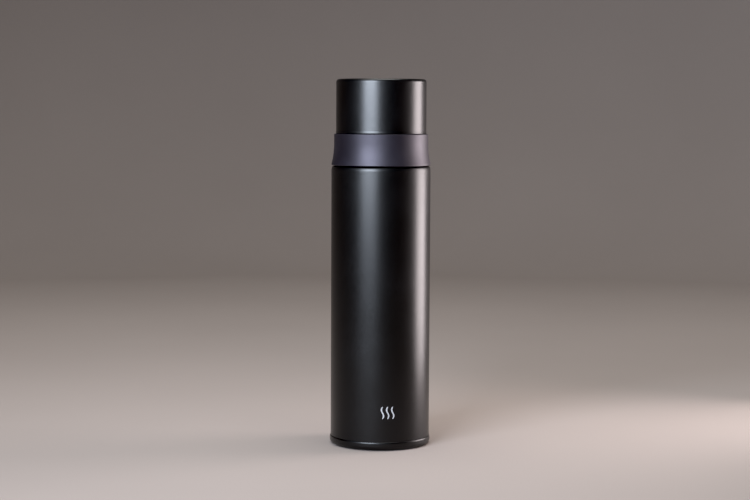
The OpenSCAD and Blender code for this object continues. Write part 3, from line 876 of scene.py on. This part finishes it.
@dataclass
class Valve:
    """Push button, stem, valve head and its gasket, which go down together."""

    button_r: float = reach("push_button")
    button_z: float = low("push_button")
    button_top: float = high("push_button")
    stem_r: float = 2.2
    flange_z: float = low("push_button") + 2.2
    head_z: float = low("valve_head")

    def build(self) -> None:
        """Builds and dresses the valve."""
        self.button()
        self.stem()
        self.head()
        self.gasket()

    def button(self) -> None:
        """Button with a dished top and a raised ring in the dish."""
        skirt = self.button_r - 1.3
        roof, boss = self.button_top - 2.2, self.flange_z + 1.3
        bore = self.stem_r + 0.05
        dish = [(self.button_r - 2.2, self.button_top, 1.2), (7.6, self.button_top - 0.75, 0.4),
                (7.2, self.button_top - 0.45, 0.2), (6.2, self.button_top - 0.45, 0.2),
                (5.8, self.button_top - 0.85, 0.4), (0, self.button_top - 0.95)]
        corners = [(0, boss + 5.8), (bore, boss + 5.8, 0.1), (bore, boss, 0.2), (4.4, boss, 0.3),
                   (4.4, roof, 0.4), (skirt, roof, 0.4), (skirt, self.button_z + 1.2, 0.1),
                   (skirt - 0.25, self.button_z + 1, 0.1), (skirt - 0.25, self.button_z, 0.1),
                   (self.button_r, self.button_z, 0.35), (self.button_r, self.button_top, 0.9)] + dish
        finished("button", Turning(rounded(corners, 0.2, 6)).mesh(), "valve", "ring_plastic",
                 ["push_button"], Finishes.RING)

    def stem(self) -> None:
        """Stem with the flange that the spring pushes on."""
        flange_r = 5.9
        bottom, top = low("valve_stem"), high("valve_stem")
        corners = [(0, bottom), (self.stem_r, bottom, 0.3), (self.stem_r, self.flange_z, 0.4),
                   (flange_r, self.flange_z, 0.3), (flange_r, self.flange_z + 1.2, 0.3),
                   (self.stem_r, self.flange_z + 1.2, 0.2), (self.stem_r, top, 0.4), (0, top)]
        finished("stem", Turning(rounded(corners), 64).mesh(), "valve", "inner_plastic",
                 ["valve_stem"], Finishes.INNER)

    def head(self) -> None:
        """Valve head with its hub and the seat for the gasket."""
        z, bore = self.head_z, self.stem_r + 0.05
        corners = [(0, z), (12.6, z, 0.5), (13.8, z + 1.2, 0.4), (13.8, z + 2.6, 0.1),
                   (12.2, z + 2.6, 0.1), (12.2, z + 4, 0.3), (6, z + 4, 0.6), (4.2, z + 5, 0.6),
                   (3.6, z + 6.6, 0.2), (bore, z + 6.6, 0.1), (bore, z + 1.8, 0.1), (0, z + 1.8)]
        finished("valve_disc", Turning(rounded(corners), 128).mesh(), "valve", "inner_plastic",
                 ["valve_head"], Finishes.INNER)

    def gasket(self) -> None:
        """Ring that closes on the housing's seat."""
        z = self.head_z
        corners = [(12.25, z + 2.65), (14.2, z + 2.65, 0.3), (14.9, z + 3.3, 0.3),
                   (14.9, z + 4.2, 0.3), (14.2, z + 4.9, 0.3), (13.4, z + 4.9, 0.3), (12.25, z + 4.1)]
        finished("valve_ring", Turning(rounded(corners, 0.1), 128).mesh(), "valve", "silicone",
                 ["valve_gasket"], Finishes.SILICONE)


class Side(Enum):
    """Which side of the stopper a release lever is on, by the sign of X."""

    LEFT = -1
    RIGHT = 1


@dataclass
class Lever:
    """Pinch lever: a ribbed pad in the cover's window, an arm and a hook under the button."""

    side: Side
    arm_z: float = low("release_lever_right") + 0.2
    arm_t: float = 2.0
    arm_w: float = 6.0
    hook_x: float = 9.0
    hook_w: float = 3.0
    pad_r: float = reach("release_lever_right")
    flange: Point = (24.0, 25.0)
    pad_half: float = 7.1
    ribs: int = 5

    def build(self) -> None:
        """Builds and dresses the lever, which is the right one or its mirror image."""
        side = self.side.name.lower()
        made = united([self.pad(), self.tongue(), self.arm(), self.hook()])
        if self.side is Side.LEFT:
            bmesh.ops.scale(made, vec=(-1, 1, 1), verts=made.verts)
        finished("pinch_lever_" + side, made, "lever_" + side, "ring_plastic",
                 ["release_lever_" + side], Finishes.RING, edge=0.22)

    def block(self, radii: Point, half: float, heights: Point,
              ribbed: bool = False) -> bmesh.types.BMesh:
        """Part of a ring with flat sides, which are square to Y.

        Args:
            radii: Its inner and outer radius.
            half: Half of its width along Y.
            heights: Its bottom and top.
            ribbed: Whether upright ribs stand on its outer face.

        Returns:
            A closed bmesh, in metres.
        """
        steps, crown = (60, 0.35) if ribbed else (16, 0.0)
        rib_h, rib_half, flank = 0.5, 0.25, 0.45
        pitch = 2 * half / (self.ribs + 1)
        bottom, top = heights
        path, sides = [], []
        for i in range(steps + 1):
            y = -half + 2 * half * i / steps
            outer = radii[1]
            if ribbed:
                nearest = min(abs(y - (k - (self.ribs - 1) / 2) * pitch) for k in range(self.ribs))
                outer -= rib_h * (1 - smooth(1 - (nearest - rib_half) / flank))
            near, far = math.sqrt(radii[0] ** 2 - y * y), math.sqrt(outer ** 2 - y * y)
            path.append(Vector((0, y, 0)))
            sides.append([Vector((x, 0, z)) for x, z in (
                (near, bottom), (far - crown, bottom), (far, bottom + crown + 0.01),
                (far, top - crown - 0.01), (far - crown, top), (near, top))])
        return swept(path, sides)

    def pad(self) -> bmesh.types.BMesh:
        """The part of the lever that shows in the window."""
        z = self.arm_z + 0.7
        return self.block((self.flange[0], self.pad_r), self.pad_half, (z, z + 8.0), ribbed=True)

    def tongue(self) -> bmesh.types.BMesh:
        """Wider plate behind the window, which keeps the pad in."""
        z = self.arm_z - 0.2
        return self.block(self.flange, self.pad_half + 1.3, (z, z + 9.8))

    def arm(self) -> bmesh.types.BMesh:
        """Flat arm from the pad to the hook.

        Returns:
            A closed bmesh, in metres.
        """
        half, bottom, top = self.arm_w / 2, self.arm_z, self.arm_z + self.arm_t
        ends = [Vector((x, 0, 0)) for x in (self.hook_x, self.flange[0] + 0.5)]
        ring = [Vector((0, y, z)) for y, z in ((-half, bottom), (half, bottom), (half, top),
                                               (-half, top))]
        return swept(ends, [ring, ring])

    def hook(self) -> bmesh.types.BMesh:
        """Upright hook, with its barb facing outward.

        Returns:
            A closed bmesh, in metres.
        """
        x, z = self.hook_x, self.arm_z
        up = z + self.arm_t
        ring = [Vector(p) for p in ((x, 0, z), (x + 1.4, 0, z), (x + 1.4, 0, up + 2),
                                    (x + 1.8, 0, up + 2.2), (x + 1.8, 0, up + 2.6),
                                    (x + 1, 0, up + 3.8), (x, 0, up + 3.8))]
        return swept([Vector((0, y, 0)) for y in (-self.hook_w / 2, self.hook_w / 2)], [ring, ring])


@dataclass
class Spring:
    """Round-wire compression spring with a closed turn at each end."""

    name: str
    node: str
    joint: str
    travel: float              # how far the joint shortens it
    axis: Vector               # from its fixed end to the free one
    radius: float              # of the wire's middle
    wire: float                # the wire's radius
    turns: int

    def build(self) -> None:
        """Builds and dresses the spring."""
        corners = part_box(self.node)
        fixed, free = sorted(corner.dot(self.axis) / MM for corner in corners)
        long = free - fixed
        centre = (corners[0] + corners[1]) / 2 / MM
        base = centre - self.axis * centre.dot(self.axis) + self.axis * fixed
        across = Vector((0, 1, 0)) if abs(self.axis.x) else Vector((1, 0, 0))
        up = self.axis.cross(across)
        path, sides = [], []
        per_turn, round_sides = 28, 10
        for i in range(self.turns * per_turn + 1):
            a = 2 * math.pi * i / per_turn
            out = across * math.cos(a) + up * math.sin(a)
            path.append(base + out * self.radius + self.axis * self.rise(i / per_turn, long))
            sides.append([(out * math.cos(b) + self.axis * math.sin(b)) * self.wire
                          for b in (2 * math.pi * k / round_sides for k in range(round_sides))])
        piece = finished(self.name, swept(path, sides), "stopper", "spring_steel", [self.node],
                         Finishes.WIRE)
        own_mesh(piece)

    def rise(self, turn: float, long: float) -> float:
        """Finds how far along the spring its wire has come.

        Args:
            turn: The turns that it has made from the fixed end.
            long: The spring's length.

        Returns:
            The distance of the wire's middle from the fixed end.
        """
        closed, whole = 2.1 * self.wire, long - 2 * self.wire
        if turn < 1:
            return self.wire + closed * turn
        if turn > self.turns - 1:
            return self.wire + whole - closed * (self.turns - turn)
        return self.wire + closed + (whole - 2 * closed) * (turn - 1) / (self.turns - 2)


# ---- Cup ----

@dataclass
class Cup:
    """Drinking cup: painted metal shell, plastic liner and the flared ring at its mouth."""

    shell_r: float = reach("cup_shell")
    top: float = high("cup_shell")
    corner: Point = (1.9, 2.3)
    sheet: float = 0.4
    neck_in: float = 0.6             # how much narrower the shell is inside the ring
    hem: float = 0.2                 # how far it swells just above the ring
    hem_h: float = 1.6
    ring_z: float = low("cup_ring")
    ring_top: float = high("cup_ring")
    ring_top_r: float = 33.15
    ring_r: float = reach("cup_ring")
    flare_h: float = 16.3
    flare_power: float = 2.2
    liner_r: float = 29.1

    def build(self) -> None:
        """Builds and dresses the cup."""
        self.ring()
        self.shell()
        self.liner()

    def flare(self, h: float) -> float:
        """Radius of the ring's side at a height above its lip."""
        share = max(0.0, (self.flare_h - h) / self.flare_h)
        return self.ring_top_r + (self.ring_r - self.ring_top_r) * share ** self.flare_power

    def ring(self) -> None:
        """Ring that is straight above and sweeps out to the lip."""
        bore, bevel, fillet = self.shell_r - self.neck_in + 0.15, 0.1, 0.4
        seat = self.ring_z + 1.4
        lip, steps = 0.45, 28
        inside = rounded([(self.liner_r + 0.8, self.ring_z, 0.3), (self.liner_r + 0.5, seat, 0.1),
                          (bore, seat, 0.1), (bore, self.ring_top, 0)])
        side = []
        for i in range(steps + 1):
            h = self.flare_h * (1 - i / steps) + 2 * lip * i / steps
            side.append((self.flare(h - 2 * lip * i / steps), self.ring_z + h))
        outline = inside[:-1] + [(bore, self.ring_top - bevel), (bore + bevel, self.ring_top)]
        outline += arc((self.ring_top_r - fillet, self.ring_top - fillet), fillet, 90, 0, 6) + side
        outline += arc((self.ring_r - lip, self.ring_z + lip), lip, 0, -90, 6)
        finished("lip_ring", Turning(outline, 192).mesh(), "cup_ring", "ring_plastic",
                 ["cup_ring"], Finishes.RING)

    def shell(self) -> None:
        """Drawn shell, necked in where it enters the ring."""
        spigot, foot = self.shell_r - self.neck_in, self.ring_top - 3.6
        wide, tall = self.corner
        corner = (self.shell_r - wide, self.top - tall)
        turn_in = (spigot, self.ring_top + 0.7)
        outside = [(spigot, foot), (spigot, self.ring_top + 0.1)]
        outside += arc(turn_in, self.neck_in + self.hem, -90, 0, 6)
        outside += [(self.shell_r + self.hem * (1 - smooth(t / 6)), turn_in[1] + self.hem_h * t / 6)
                    for t in range(1, 7)]
        outside += arc(corner, self.corner, 0, 90, 14)
        outside += [(0, self.top)]
        inside = [(spigot - self.sheet, foot), (spigot - self.sheet, self.ring_top + 0.3),
                  (self.shell_r - self.sheet, self.ring_top + 0.9)]
        inside += arc(corner, (wide - self.sheet, tall - self.sheet), 0, 90, 14)
        inside += [(0, self.top - self.sheet)]
        finished("cup_skin", Turning(outside + inside[::-1], 192).mesh(), "cup", "black_paint",
                 ["cup_shell"], Finishes.PAINT)

    def liner(self) -> None:
        """Inside of the cup, with the ridges that run on the stopper's thread."""
        out, thick, foot = self.liner_r + 1.4, self.shell_r - self.neck_in, low("cup_liner")
        step, top = self.ring_top - 3.7, high("cup_liner")
        floor = top - 1.6
        corners = [(self.liner_r, foot, 0.35), (thick, foot, 0.2), (thick, step, 0.2),
                   (out, step, 0.2), (out, top, 2.0), (0, top), (0, floor),
                   (self.liner_r, floor, 2.0)]
        thread = Thread(self.liner_r, height=-1.15, width=1.5, lead=CUP_LEAD,
                        z=self.ring_z + 3.8, turn=0, sweep=105, starts=CUP_STARTS)
        wall = Turning(rounded(corners, 0.2, 8), 192).mesh()
        finished("cup_inside", united([wall] + thread.ridges()), "cup", "liner_plastic",
                 ["cup_liner"], Finishes.LINER)


# ---- Studio ----

@dataclass
class Softbox:
    """Soft light with its own size, place and colour. Lengths are in metres."""

    name: str
    turn: float            # degrees round from the front, towards +X
    distance: float        # from the flask's axis
    height: float          # of its middle
    size: Point
    watts: float
    colour: str
    tilt: float = 0.0      # how far it faces down, in degrees
    grid: float = 180.0    # angle that its grid lets the light out by, in degrees

    def build(self) -> None:
        """Puts the light in place."""
        data = bpy.data.lights.new(self.name, "AREA")
        data.shape, data.size, data.size_y = "RECTANGLE", *self.size
        data.energy, data.spread = self.watts, math.radians(self.grid)
        data.color = linear(self.colour)[:3]
        light = bpy.data.objects.new(self.name, data)
        a, down = math.radians(self.turn), math.radians(self.tilt)
        light.location = (self.distance * math.sin(a), -self.distance * math.cos(a), self.height)
        back = Vector((math.sin(a) * math.cos(down), -math.cos(a) * math.cos(down), math.sin(down)))
        light.rotation_euler = back.to_track_quat("Z", "Y").to_euler()
        light.visible_camera = False
        bpy.context.scene.collection.objects.link(light)


@dataclass
class Studio:
    """Plain pale sweep, soft lights and the camera. Lengths are in metres."""

    floor_r: float = 1.9
    cove_r: float = 0.6
    wall_h: float = 2.4
    air: str = "#C9CACC"             # the room's own faint light
    air_strength: float = 0.2
    black: float = 0.009             # light as weak as this is shown as black
    lens: float = 84.1               # focal length in mm, on a sensor 36 mm wide
    sensor: float = 36.0
    eye: tuple[float, float, float] = (0, -1.237, 0.234)
    pitch: float = 0.0778            # how far the camera looks down, in radians
    yaw: float = -0.0032             # how far it looks to the right
    roll: float = 0.005
    lights: list[Softbox] = field(default_factory=lambda: [
        Softbox("key_softbox", -27.4, 0.83, 0.48, (0.5, 0.56), 9.2, "#E4EFFF", grid=120),
        Softbox("side_softbox", 103.6, 0.38, 0.175, (0.2, 0.33), 1.05, "#FFF3F4", grid=120),
        Softbox("overhead_softbox", 0, 0.0, 2.2, (1.6, 1.6), 17, "#FFFDFA", tilt=90, grid=110)])

    def build(self) -> None:
        """Builds the sweep, the lights and the camera."""
        self.sweep()
        for light in self.lights:
            light.build()
        world = bpy.data.worlds.new("studio_air")
        world.use_nodes = True
        background = world.node_tree.nodes["Background"]
        background.inputs["Color"].default_value = linear(self.air)
        background.inputs["Strength"].default_value = self.air_strength
        bpy.context.scene.world = world
        view = bpy.context.scene.view_settings
        view.view_transform = "Standard"
        view.use_curve_mapping = True
        view.curve_mapping.black_level = (self.black,) * 3
        self.camera()

    def sweep(self) -> None:
        """Round floor that curves up into a wall, so that it looks plain from all sides."""
        steps, segments = 16, 96
        profile = [(0.0, 0.0), (0.4, 0.0), (self.floor_r - self.cove_r, 0.0)]
        profile += arc((self.floor_r - self.cove_r, self.cove_r), self.cove_r, -90, 0, steps)
        profile += [(self.floor_r, self.wall_h)]
        made = bmesh.new()
        rings = [[made.verts.new((r * math.cos(a), r * math.sin(a), z)) for r, z in profile[1:]]
                 for a in (2 * math.pi * k / segments for k in range(segments))]
        middle = made.verts.new((0, 0, 0))
        for ring, following in zip(rings, rings[1:] + rings[:1]):
            made.faces.new([middle, ring[0], following[0]])
            for i in range(len(ring) - 1):
                made.faces.new([ring[i], ring[i + 1], following[i + 1], following[i]])
        mesh = bpy.data.meshes.new("sweep")
        made.to_mesh(mesh)
        made.free()
        mesh.shade_smooth()
        mesh.materials.append(Finishes.PAPER.material())
        sweep = bpy.data.objects.new("sweep", mesh)
        bpy.context.scene.collection.objects.link(sweep)

    def camera(self) -> None:
        """Long lens at a little below the flask's top, looking slightly down."""
        data = bpy.data.cameras.new("camera")
        data.lens, data.sensor_width = self.lens, self.sensor
        data.dof.use_dof = False
        camera = bpy.data.objects.new("camera", data)
        camera.location = self.eye
        aim = Matrix.Rotation(-self.yaw, 3, "Z") @ Matrix.Rotation(math.pi / 2 - self.pitch, 3, "X")
        camera.rotation_euler = (aim @ Matrix.Rotation(self.roll, 3, "Z")).to_euler()
        bpy.context.scene.collection.objects.link(camera)
        bpy.context.scene.camera = camera


def main() -> None:
    """Builds the flask and its studio."""
    logging.basicConfig(level=logging.INFO, format="%(name)s: %(message)s")
    Studio().build()
    Bottle().build()
    Stopper().build()
    Valve().build()
    Spring("button_spring", "main_spring", "button_press", travel=6.0, axis=UP, radius=5.4,
           wire=0.45, turns=9).build()
    for side in Side:
        name = side.name.lower()
        Lever(side).build()
        Spring("lever_coil_" + name, "lever_spring_" + name, "lever_%s_press" % name, travel=2.0,
               axis=Vector((side.value, 0, 0)), radius=1.7, wire=0.3, turns=5).build()
    Cup().build()


if __name__ == "__main__":
    main()
